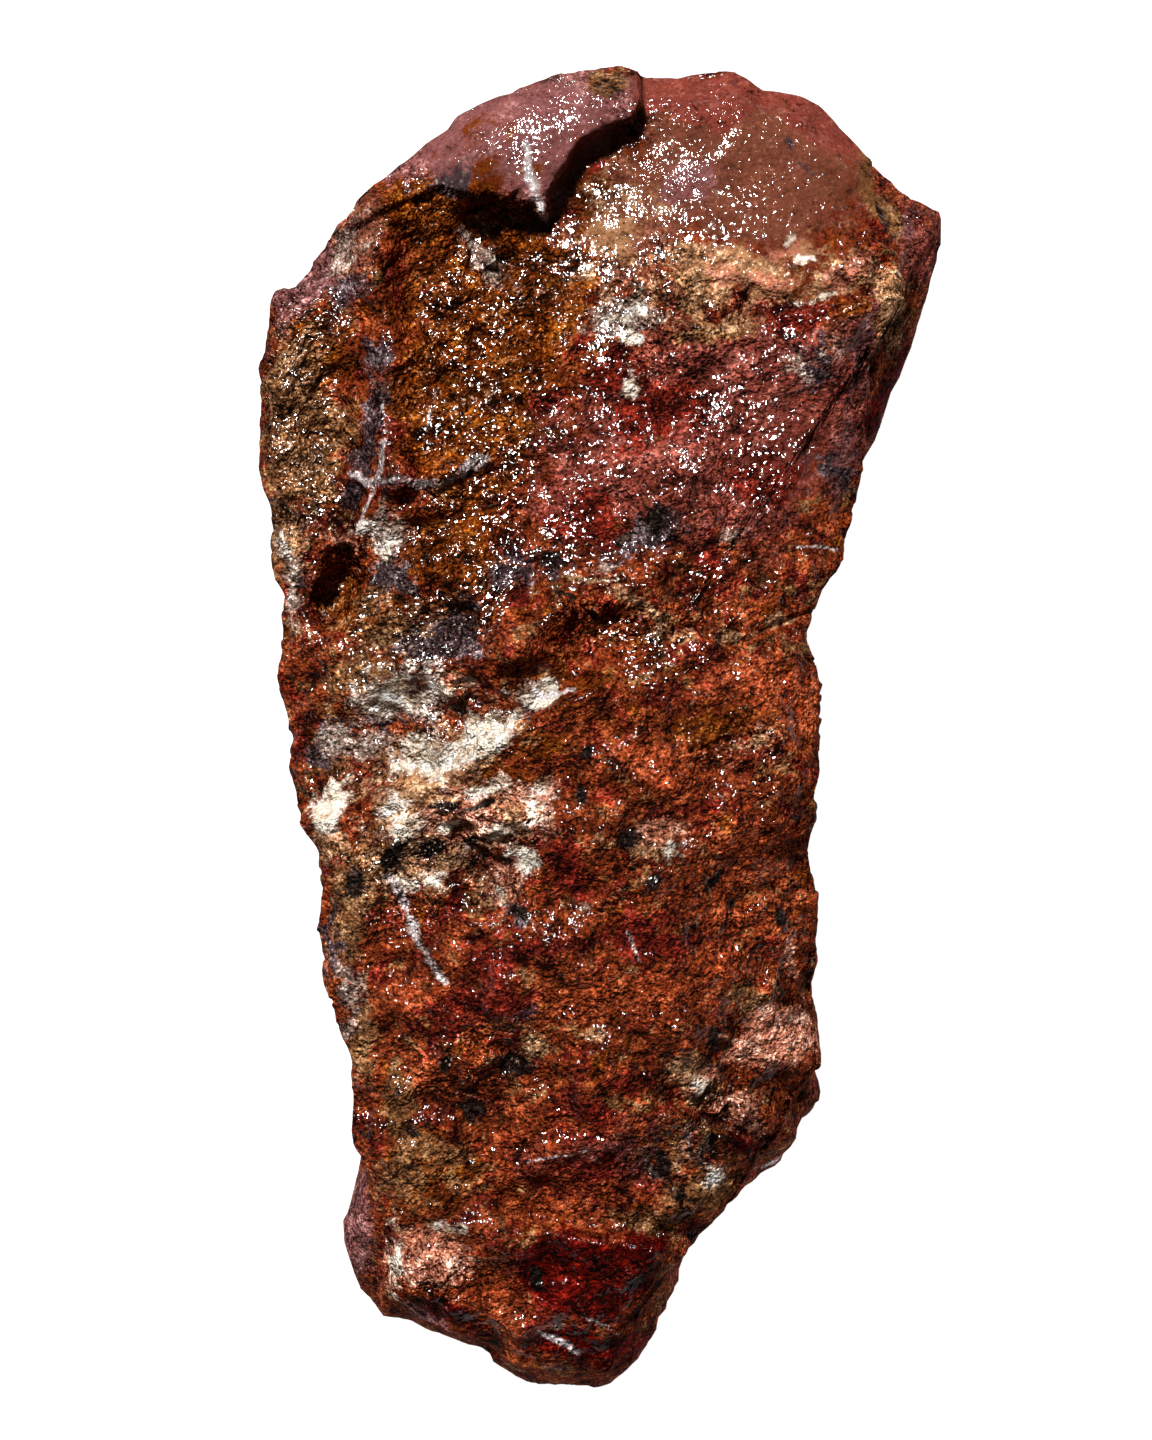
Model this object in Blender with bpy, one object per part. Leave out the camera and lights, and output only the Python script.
"""A rough slab of red jasper, lying on its back.

The stone is one solid. It starts as a finely divided cube whose six sides become the stone's front face,
its back and the broken wall between them. Each point of the cube is moved to its place on the stone. A
Decimate modifier then keeps the triangles where the ledges, hollows and edges need them.

Axes: +X to the right and +Y up as the front face is seen, +Z out of the front face. The origin is on the
bed, under the middle of the stone. Sizes are in millimetres until the mesh is made.
"""

import bmesh
import bpy
import numpy as np

MM = 0.001

# Size of the stone: its full length, and the half sizes that its outlines are drawn in
LENGTH = 160.0
HALF_LENGTH = 80.0
HALF_WIDTH = 41.5

# Cells of the cube across, along and through the stone, and the triangles that are kept of them
CELLS = (80, 136, 24)
KEPT_TRIANGLES = 9400

# Edge of the front face, anticlockwise from the right, from the middle of the stone
RIM = [
    (25.5, 14.2), (26.5, 16.8), (29.3, 19.7), (30.6, 24.8), (31.3, 28.6), (32.5, 34.2), (32.0, 36.9),
    (32.3, 42.2), (33.1, 45.6), (35.3, 48.9), (37.3, 52.0), (36.1, 55.1), (35.8, 58.1), (33.4, 61.8),
    (33.1, 65.1), (33.0, 68.6), (29.5, 72.7), (26.7, 75.8), (24.2, 76.8), (19.8, 77.2), (16.4, 79.5),
    (9.5, 78.8), (5.6, 78.9), (1.9, 79.8), (-3.2, 78.8), (-10.6, 76.5), (-17.5, 74.1), (-18.6, 72.4),
    (-23.8, 68.5), (-29.5, 63.7), (-30.2, 62.2), (-35.4, 55.5), (-37.1, 53.4), (-39.5, 52.7),
    (-40.7, 47.6), (-41.3, 43.7), (-41.6, 32.7), (-40.2, 26.8), (-39.9, 18.5), (-38.6, 16.0),
    (-39.0, 6.4), (-37.6, -1.2), (-38.0, -5.1), (-36.3, -12.1), (-34.6, -14.8), (-33.5, -19.4),
    (-33.9, -24.4), (-33.6, -29.3), (-32.0, -35.6), (-29.9, -39.8), (-29.7, -50.4), (-27.8, -54.1),
    (-26.3, -58.0), (-25.6, -65.1), (-25.1, -69.0), (-20.5, -72.3), (-16.4, -74.0), (-12.6, -75.5),
    (-10.6, -77.6), (-7.8, -78.4), (-3.0, -78.8), (1.1, -78.4), (2.7, -75.4), (6.6, -69.1),
    (9.0, -65.6), (11.9, -62.0), (15.2, -58.8), (18.9, -52.6), (21.7, -50.1), (23.6, -45.0),
    (26.5, -41.2), (25.7, -31.6), (26.3, -28.5), (26.5, -22.1), (25.1, -14.9), (26.2, -11.4),
    (25.7, -8.6), (26.6, -4.1), (26.0, 0.2), (26.6, 4.6), (25.1, 11.5),
]

# Where the wall swells out past the front face: a shelf at the upper right and a skirt round the foot
SHELF = [
    (32.5, 34.2), (35.3, 37.9), (36.9, 41.8), (39.4, 48.3), (40.8, 52.7), (41.4, 56.2), (42.3, 59.0),
    (42.8, 63.6), (40.1, 65.9), (35.6, 68.4), (31.8, 71.6), (29.5, 72.7),
]
FOOT = [
    (-29.9, -39.8), (-30.8, -49.4), (-32.0, -58.7), (-31.8, -65.4), (-30.5, -70.5), (-26.2, -73.6),
    (-20.4, -76.0), (-15.0, -77.3), (-10.6, -80.6), (-8.0, -81.5), (-3.0, -81.8), (1.2, -81.5),
    (3.0, -80.2), (6.9, -75.0), (10.7, -66.5), (13.1, -63.1), (18.5, -57.6), (22.7, -54.0),
    (25.3, -48.8), (27.1, -46.2), (26.5, -41.2),
]

# Heights of the front face over the bed, as spot heights on a map: x, y and height
SPOT_HEIGHTS = [
    (0.2, 77.0, 30.0), (-20.4, 68.5, 28.5), (-9.5, 70.9, 32.5), (5.1, 63.6, 32.0), (18.5, 69.7, 31.0),
    (30.6, 63.6, 29.5), (24.5, 55.1, 33.0), (12.4, 56.3, 33.5), (22.1, 39.3, 33.0), (30.6, 29.6, 29.0),
    (12.4, 29.6, 36.0), (-11.9, 51.5, 32.5), (-9.5, 33.3, 34.0), (-36.2, 49.0, 27.5), (-37.4, 33.3, 27.0),
    (-25.9, 45.4, 33.5), (-36.2, 17.5, 28.5), (-18.0, 15.1, 35.0), (0.2, 15.1, 37.0), (22.1, 12.6, 32.0),
    (-35.0, -1.9, 28.5), (-11.9, 2.9, 37.0), (-15.5, -16.5, 34.0), (-31.3, -21.4, 28.0),
    (2.7, -15.3, 38.0), (22.1, -9.2, 33.0), (-11.9, -34.7, 36.0), (-26.5, -43.2, 30.0),
    (6.3, -33.5, 37.0), (23.3, -28.6, 31.0), (22.1, -43.2, 29.0), (0.2, -51.7, 35.0),
    (-21.6, -55.4, 32.0), (10.0, -57.8, 31.0), (-20.4, -68.7, 28.5), (-4.6, -67.5, 30.0),
    (-1.0, -77.2, 25.0), (5.1, -67.5, 28.0),
]
SPOT_REACH = 9.0

# Ledges: the face drops across the line, from the left of its run to the right. Each is
# (drop, width of the break, reach on the high side, reach on the low side, line).
LEDGES = {
    "flap": (5.4, 1.2, 22.0, 14.0, [
        (-26.1, 61.8), (-23.5, 63.8), (-19.2, 65.6), (-15.5, 64.2), (-12.2, 63.5), (-9.2, 62.8),
        (-7.0, 60.8), (-5.1, 62.2), (-3.2, 65.8), (0.2, 69.9), (4.7, 72.4), (5.4, 76.0), (5.7, 82.0),
    ]),
    "ochre step": (1.8, 1.8, 8.0, 12.0, [
        (37.3, 51.5), (33.0, 51.8), (27.0, 50.9), (23.3, 50.0), (17.2, 47.8), (11.0, 48.5),
    ]),
    "crimson step": (1.4, 1.4, 5.0, 6.0, [
        (11.2, 37.5), (9.7, 35.4), (6.3, 32.7), (3.0, 32.4),
    ]),
    "quartz step": (3.4, 3.6, 8.0, 11.0, [
        (-1.0, 5.3), (-8.3, 1.4), (-14.3, -2.2), (-19.2, -5.4), (-24.0, -7.2), (-30.7, -10.1),
        (-37.0, -11.4),
    ]),
    "crust lip": (1.6, 1.3, 4.0, 7.0, [
        (-9.0, -11.0), (-14.0, -8.6), (-20.0, -9.2), (-24.0, -11.5),
    ]),
    "falling facet": (3.0, 3.6, 8.0, 15.0, [
        (12.9, -63.0), (5.1, -61.7), (-4.6, -60.8), (-11.0, -59.8),
    ]),
    "knob ledge": (2.0, 1.6, 5.0, 7.0, [
        (21.0, -50.2), (16.5, -49.2), (12.4, -47.6), (8.3, -46.0),
    ]),
}

# Ridges: (height, half width, line)
RIDGES = {
    "dark ridge": (3.0, 2.4, [
        (-26.6, 61.0), (-27.3, 53.0), (-25.2, 46.0), (-26.0, 36.0), (-24.8, 29.5), (-30.5, 22.0),
    ]),
    "purple ridge": (1.6, 2.6, [
        (5.1, 18.1), (-4.6, 15.1), (-9.5, 10.2), (-18.0, 7.8), (-24.0, 7.2), (-30.1, 4.1),
    ]),
    "white ridge": (1.1, 1.2, [
        (-30.1, 30.8), (-25.9, 29.0), (-21.6, 29.3), (-18.0, 30.8), (-14.3, 32.7),
    ]),
    "pink knob": (1.6, 2.2, [(27.0, 54.0), (31.0, 55.4)]),
    "red knob": (2.2, 2.4, [(17.4, -46.2), (19.2, -47.4)]),
    "glint ridge": (1.0, 1.5, [(-11.9, -55.1), (-4.6, -50.9), (5.1, -49.9)]),
}

# Hollows: (depth, x, y, half length, half width, turn of the long side from +X in degrees)
HOLLOWS = {
    "ochre hollow": (3.4, -15.0, 47.0, 17.0, 9.5, 100.0),
    "ochre hollow foot": (2.0, -12.0, 27.0, 9.0, 6.5, 35.0),
    "left pit": (5.6, -31.6, 17.0, 5.8, 3.2, 78.0),
    "small pit": (2.4, -20.0, 23.4, 4.4, 2.8, 20.0),
    "pit by the white ridge": (1.6, -20.5, 33.0, 4.2, 2.4, 10.0),
    "crusty hollow": (2.6, -17.0, -17.5, 10.0, 6.5, 10.0),
    "left edge hollow": (1.8, -34.0, 38.0, 10.0, 4.0, 95.0),
    "knob notch": (2.8, 20.4, -50.6, 2.4, 1.8, 30.0),
    "dark hollow": (1.4, -9.0, -41.0, 4.5, 2.4, 330.0),
    "foot chip": (2.0, -21.5, -71.2, 3.4, 1.8, 332.0),
    "right chip": (1.8, 25.6, -31.7, 2.2, 1.6, 90.0),
}

# Broken edge, wall and back
RIM_DROP = 2.6
RIM_ROUNDING = 5.5
SKIRT_DEPTH, SKIRT_WANDER = 0.44, 0.16
SHELF_TOP = 0.16
BACK_INSET = 6.0
BACK_LIFT = 3.6
BED_SNAP = 0.06

# Relief over the whole stone: size across and height
LUMPS = (26.0, 1.2)
KNOBS = (10.0, 1.3)
FRONT_SCARS = (10.0, 1.9)
WALL_SCARS = (13.0, 4.2)
WALL_SCAR_STRETCH = 0.6
WALL_CREST = 0.42
WALL_KNOBS = (9.0, 0.6)
BACK_SCARS = (22.0, 7.0)
BACK_FLAT_SHARE = 0.27

# Smoother places on the front face: x, y, half length, half width
SMOOTH_PLACES = [(19.7, 66.0, 17.0, 13.0), (-9.5, 71.5, 15.0, 8.5), (24.0, 33.0, 11.0, 15.0)]
SMOOTHING = 0.65

SMOOTH_EDGE_DEGREES = 40.0


def fixed_random(cell, seed):
    """A number from -1 to 1 for each cell of a lattice, always the same for the same cell and seed."""
    n = cell[..., 0] * 1619 + cell[..., 1] * 31337 + cell[..., 2] * 6971 + seed * 1013
    n = (n ^ (n >> 13)) & 0x7FFFFFFF
    n = (n * ((n * n * 15731 + 789221) & 0x7FFFFFFF) + 1376312589) & 0x7FFFFFFF
    return 1.0 - n / 1073741824.0


def soft_noise(points, size, seed):
    """Random values at the corners of cubes of this size, blended smoothly in between."""
    scaled = points / size + 100.0
    cell = np.floor(scaled).astype(np.int64)
    part = scaled - cell
    fade = part**3 * (part * (part * 6 - 15) + 10)
    total = 0.0
    for dx in (0, 1):
        for dy in (0, 1):
            for dz in (0, 1):
                step = np.array([dx, dy, dz])
                weight = np.prod(np.where(step, fade, 1 - fade), axis=-1)
                total = total + weight * fixed_random(cell + step, seed)
    return total


TURN = np.array([[0.36, 0.48, -0.80], [-0.80, 0.60, 0.00], [0.48, 0.64, 0.60]])


def rough_noise(points, size, octaves, seed):
    """Soft noise at several sizes, each half as large and half as high, on axes turned each time."""
    total = 0.0
    for octave in range(octaves):
        total = total + soft_noise(points, size, seed + octave) * 0.5**octave
        points = points @ TURN.T
        size = size / 2
    return total


def scars(points, size, seed):
    """Bowls that meet in sharp crests, as flakes leave on struck jasper: the squared distance to the
    nearest of the scattered middles, from 0 in a bowl to 1 on the highest crests."""
    scaled = points / size + 100.0
    cell = np.floor(scaled).astype(np.int64)
    nearest = np.ones(len(points))
    for dx in (-1, 0, 1):
        for dy in (-1, 0, 1):
            for dz in (-1, 0, 1):
                there = cell + np.array([dx, dy, dz])
                middle = np.stack([fixed_random(there, seed + k) for k in (0, 1, 2)], axis=-1)
                gap = there + 0.5 + 0.45 * middle - scaled
                nearest = np.minimum(nearest, (gap**2).sum(axis=-1))
    return nearest


def ease(x):
    """0 below 0, 1 above 1, and smooth between."""
    x = np.clip(x, 0.0, 1.0)
    return x * x * (3 - 2 * x)


def to_line(x, y, line):
    """Distance to a line of points, and the signed distance square to its nearest stretch, positive on
    the left of its run. At a corner, the stretch that the point stands more square to is the nearest."""
    distance = np.full(np.shape(x), 1e9)
    square = np.zeros(np.shape(x))
    for (ax, ay), (bx, by) in zip(line[:-1], line[1:]):
        length = np.hypot(bx - ax, by - ay)
        ux, uy = (bx - ax) / length, (by - ay) / length
        along = np.clip((x - ax) * ux + (y - ay) * uy, 0, length)
        gap = np.hypot(x - ax - along * ux, y - ay - along * uy)
        side = (y - ay) * ux - (x - ax) * uy
        level = np.abs(gap - distance) < 1e-7
        closer = np.where(level, np.abs(side) > np.abs(square), gap < distance)
        distance = np.where(closer, gap, distance)
        square = np.where(closer, side, square)
    return distance, square


def ledge_height(x, y, drop, width, reach_high, reach_low, line):
    """A step across a line that dies away on both sides and fans out past the line's ends."""
    distance, square = to_line(x, y, line)
    fan = np.minimum(np.abs(square) / np.maximum(distance, 1e-6), 1.0)
    high = 0.5 * drop * np.exp(-((distance / reach_high) ** 2))
    low = -0.5 * drop * np.exp(-((distance / reach_low) ** 2))
    return fan * (low + (high - low) * ease(square / width + 0.5))


def ridge_height(x, y, height, half_width, line):
    """A rounded rib along a line."""
    distance, _ = to_line(x, y, line)
    return height * np.exp(-((distance / half_width) ** 2))


def hollow_height(x, y, depth, middle_x, middle_y, half_length, half_width, turn):
    """A bowl with a rounded floor and a steep edge."""
    c, s = np.cos(np.radians(turn)), np.sin(np.radians(turn))
    along = ((x - middle_x) * c + (y - middle_y) * s) / half_length
    across = ((y - middle_y) * c - (x - middle_x) * s) / half_width
    return -depth * (1 - ease(np.hypot(along, across) ** 1.5 * 0.75 + 0.05))


def spot_surface(x, y):
    """The smooth ground that runs through the spot heights, each counting for less with distance."""
    total, weights = 0.0, 0.0
    for spot_x, spot_y, spot_z in SPOT_HEIGHTS:
        weight = np.exp(-((x - spot_x) ** 2 + (y - spot_y) ** 2) / (2 * SPOT_REACH**2)) + 1e-9
        total = total + weight * spot_z
        weights = weights + weight
    return total / weights


def front_relief(x, y):
    """Lumps, knobs and scars on the front face, lower in its smooth places."""
    flat = np.stack([x, y, np.zeros_like(x)], axis=-1)
    calm = 0.0
    for middle_x, middle_y, half_x, half_y in SMOOTH_PLACES:
        reach = np.hypot((x - middle_x) / half_x, (y - middle_y) / half_y)
        calm = np.maximum(calm, ease(1.6 * (1.25 - reach)))
    roughness = 1 - SMOOTHING * calm
    relief = KNOBS[1] * rough_noise(flat, KNOBS[0], 3, 7)
    relief = relief + FRONT_SCARS[1] * (scars(flat, FRONT_SCARS[0], 21) - 0.35)
    return LUMPS[1] * soft_noise(flat, LUMPS[0], 3) + roughness * relief


def front_height(x, y):
    """Height of the front face over the bed. Its lines wander a little, as broken stone does."""
    flat = np.stack([x, y, np.zeros_like(x)], axis=-1)
    wander_x = x + 0.9 * rough_noise(flat, 6.0, 2, 41)
    wander_y = y + 0.9 * rough_noise(flat, 6.0, 2, 51)
    height = spot_surface(x, y) + front_relief(x, y)
    for ledge in LEDGES.values():
        height = height + ledge_height(wander_x, wander_y, *ledge)
    for ridge in RIDGES.values():
        height = height + ridge_height(wander_x, wander_y, *ridge)
    for hollow in HOLLOWS.values():
        height = height + hollow_height(wander_x, wander_y, *hollow)
    return height


def by_angle(points, phi):
    """How far out an outline lies at each angle, as a share of the half sizes. Off the end of an open
    outline the answer is 0."""
    places = np.array(points) / (HALF_WIDTH, HALF_LENGTH)
    angle = np.arctan2(places[:, 1], places[:, 0])
    order = np.argsort(angle)
    angle, radius = angle[order], np.hypot(*places.T)[order]
    if points is RIM:
        return np.interp(phi, angle, radius, period=2 * np.pi)
    return np.interp(phi, angle, radius, left=0.0, right=0.0)


def plan_point(phi, radius):
    return HALF_WIDTH * radius * np.cos(phi), HALF_LENGTH * radius * np.sin(phi)


def outward_way(phi):
    """The way out of the stone at each angle, seen from above."""
    x, y = np.cos(phi) / HALF_WIDTH, np.sin(phi) / HALF_LENGTH
    return x / np.hypot(x, y), y / np.hypot(x, y)


def around(phi):
    """Points on an even ring, for noise that follows the edge."""
    return np.stack([*plan_point(phi, 1.0), np.zeros_like(phi)], axis=-1)


def front_place(phi, rho):
    """The front face from its middle (rho 0) to its rim (rho 1), rounded down to its broken edge."""
    rim_x, rim_y = plan_point(phi, by_angle(RIM, phi))
    x, y = rho * rim_x, rho * rim_y
    from_rim, _ = to_line(x, y, RIM + RIM[:1])
    edge = np.clip(1 - from_rim / RIM_ROUNDING, 0, 1)
    rim_drop = RIM_DROP * (1 + 0.6 * soft_noise(around(phi), 17.0, 61))
    return np.stack([x, y, front_height(x, y) - rim_drop * edge**2.2], axis=-1)


def widest_line(phi):
    """Where the stone is widest, part way down its wall."""
    rim = by_angle(RIM, phi) * (1.0 + 0.012 * soft_noise(around(phi), 21.0, 63))
    return np.maximum(rim, np.maximum(by_angle(SHELF, phi), by_angle(FOOT, phi)))


def back_place(phi, rho):
    """The back, flat on the bed but for its scars, and lifted off it towards its edge."""
    out_x, out_y = outward_way(phi)
    inset = BACK_INSET * (1 + 0.5 * soft_noise(around(phi), 24.0, 65))
    edge_x, edge_y = plan_point(phi, widest_line(phi))
    x, y = rho * (edge_x - inset * out_x), rho * (edge_y - inset * out_y)
    flat = np.stack([x, y, np.zeros_like(x)], axis=-1)
    scarred = BACK_SCARS[1] * (BACK_FLAT_SHARE - scars(flat, BACK_SCARS[0], 71))
    lift = BACK_LIFT * rho**6 * (1 + 0.5 * soft_noise(around(phi), 19.0, 67))
    z = scarred + lift + 0.5 * rough_noise(flat, 12.0, 2, 73)
    return np.stack([x, y, np.maximum(z, 0.0)], axis=-1)


def wall_place(phi, down):
    """The broken wall, from the rim (down 0) out to its widest line and in again to the back (down 1)."""
    out_x, out_y = outward_way(phi)
    rim, widest = by_angle(RIM, phi), widest_line(phi)
    top, bottom = front_place(phi, 1.0), back_place(phi, 1.0)
    waist = SKIRT_DEPTH + SKIRT_WANDER * soft_noise(around(phi), 23.0, 69)
    start = np.where(by_angle(SHELF, phi) > 0, SHELF_TOP, 0.0)
    outward = ease((down - start) / (waist - start))
    tuck = np.clip((down - waist) / (1 - waist), 0, 1) ** 2
    x, y = plan_point(phi, rim + (widest - rim) * outward)
    widest_x, widest_y = plan_point(phi, widest)
    x, y = x + (bottom[:, 0] - widest_x) * tuck, y + (bottom[:, 1] - widest_y) * tuck
    z = top[:, 2] + (bottom[:, 2] - top[:, 2]) * down
    place = np.stack([x, y, z], axis=-1)
    tall = place * (1.0, 1.0, WALL_SCAR_STRETCH)
    depth = WALL_SCARS[1] * np.minimum(scars(tall, WALL_SCARS[0], 31) - WALL_CREST, 0.0)
    depth = depth + WALL_KNOBS[1] * rough_noise(place, WALL_KNOBS[0], 3, 33)
    depth = depth * ease(down * 12) * ease((1 - down) * 9)
    return place + depth[:, None] * np.stack([out_x, out_y, np.zeros_like(out_x)], axis=-1)


def cube_to_stone(cube):
    """Moves points of the cube from -1 to 1 to the stone's surface."""
    p, q, r = cube.T
    disc_x = p * np.sqrt(1 - q * q / 2)
    disc_y = q * np.sqrt(1 - p * p / 2)
    rho = np.minimum(np.hypot(disc_x, disc_y), 1.0)
    phi = np.arctan2(disc_y, disc_x)
    on_front, on_back = (r > 0.9999)[:, None], (r < -0.9999)[:, None]
    stone = np.where(on_front, front_place(phi, rho), wall_place(phi, (1 - r) / 2))
    return np.where(on_back, back_place(phi, rho), stone)


def divided_cube(cells):
    """A cube from -1 to 1 with its own number of cells along each axis."""
    bm = bmesh.new()
    bmesh.ops.create_cube(bm, size=2)
    for axis, count in enumerate(cells):
        along = [e for e in bm.edges if abs(e.verts[0].co[axis] - e.verts[1].co[axis]) > 1.0]
        bmesh.ops.subdivide_edges(bm, edges=along, cuts=count - 1, use_grid_fill=True)
    bmesh.ops.recalc_face_normals(bm, faces=bm.faces)
    mesh = bpy.data.meshes.new("rough stone")
    bm.to_mesh(mesh)
    bm.free()
    return mesh


def read_points(mesh):
    points = np.empty(len(mesh.vertices) * 3)
    mesh.vertices.foreach_get("co", points)
    return points.reshape(-1, 3)


def thinned(mesh, triangles):
    """A copy of a mesh of four-sided faces, with about this many triangles left where its shape bends."""
    rough = bpy.data.objects.new("rough stone", mesh)
    bpy.context.scene.collection.objects.link(rough)
    thin = rough.modifiers.new("thin", "DECIMATE")
    thin.ratio = triangles / (2 * len(mesh.polygons))
    thin.use_collapse_triangulate = True
    kept = bpy.data.meshes.new_from_object(rough.evaluated_get(bpy.context.evaluated_depsgraph_get()))
    bpy.data.objects.remove(rough)
    bpy.data.meshes.remove(mesh)
    return kept


def fit_to_size(points):
    """Brings the stone to its full length, its middle over the origin and its flat places onto the bed."""
    lowest, highest = points.min(axis=0), points.max(axis=0)
    middle = np.append((lowest[:2] + highest[:2]) / 2, lowest[2])
    points = (points - middle) * LENGTH / (highest[1] - lowest[1])
    points[:, 2] = np.where(points[:, 2] < BED_SNAP, 0.0, points[:, 2])
    return points


def jasper_material():
    material = bpy.data.materials.new("wet red jasper")
    material.use_nodes = True
    shader = material.node_tree.nodes["Principled BSDF"]
    shader.inputs["Base Color"].default_value = (0.17, 0.035, 0.014, 1.0)
    shader.inputs["Roughness"].default_value = 0.3
    shader.inputs["Metallic"].default_value = 0.0
    return material


def build_stone(collection):
    mesh = divided_cube(CELLS)
    mesh.vertices.foreach_set("co", cube_to_stone(read_points(mesh)).ravel())
    mesh.update()
    mesh = thinned(mesh, KEPT_TRIANGLES)
    mesh.name = "red_jasper"
    mesh.vertices.foreach_set("co", (fit_to_size(read_points(mesh)) * MM).ravel())
    mesh.update()
    mesh.shade_smooth()
    mesh.set_sharp_from_angle(angle=np.radians(SMOOTH_EDGE_DEGREES))
    mesh.materials.append(jasper_material())
    stone = bpy.data.objects.new("red_jasper", mesh)
    collection.objects.link(stone)
    return stone


def main():
    for obj in list(bpy.data.objects):
        bpy.data.objects.remove(obj)
    collection = bpy.data.collections.new("red jasper")
    bpy.context.scene.collection.children.link(collection)
    build_stone(collection)


main()
